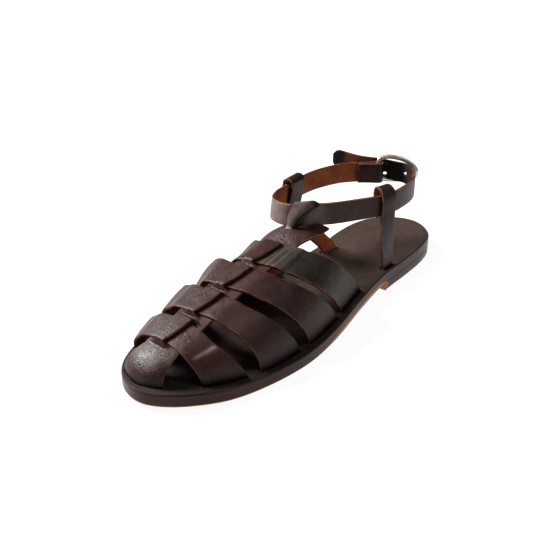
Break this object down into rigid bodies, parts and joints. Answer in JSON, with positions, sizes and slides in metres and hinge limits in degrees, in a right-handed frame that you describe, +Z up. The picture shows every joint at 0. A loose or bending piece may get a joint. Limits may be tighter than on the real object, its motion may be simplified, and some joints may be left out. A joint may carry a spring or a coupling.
{
  "type": "fisherman sandal",
  "caption": "Left leather fisherman sandal with a woven strap upper on a slit spine, low stacked heel and a buckled ankle strap held by side keepers.",
  "frame": {"origin": "on the floor, at the middle of the sole's length and width", "axes": "+Z up, -Y to the toe, +Y to the heel, +X to the outer (lateral) side of this left shoe"},
  "size_m": [0.0827, 0.25, 0.0662],
  "materials": {
    "insole_leather": "smooth dark brown leather, lightly worn",
    "sole_leather": "dressed burgundy brown leather edge with a tan lower line",
    "strap_leather": "dark brown full grain with a soft gloss and tan raw edges",
    "buckle_metal": "pale polished nickel"
  },
  "bodies": {
    "root": {"insole": "insole_leather", "outsole": "sole_leather", "heel_lift": "sole_leather", "upper": "strap_leather", "keeper_lateral": "strap_leather", "keeper_medial": "strap_leather", "ankle_strap": "strap_leather", "buckle_frame": "buckle_metal", "buckle_prong": "buckle_metal"}
  },
  "joints": []
}
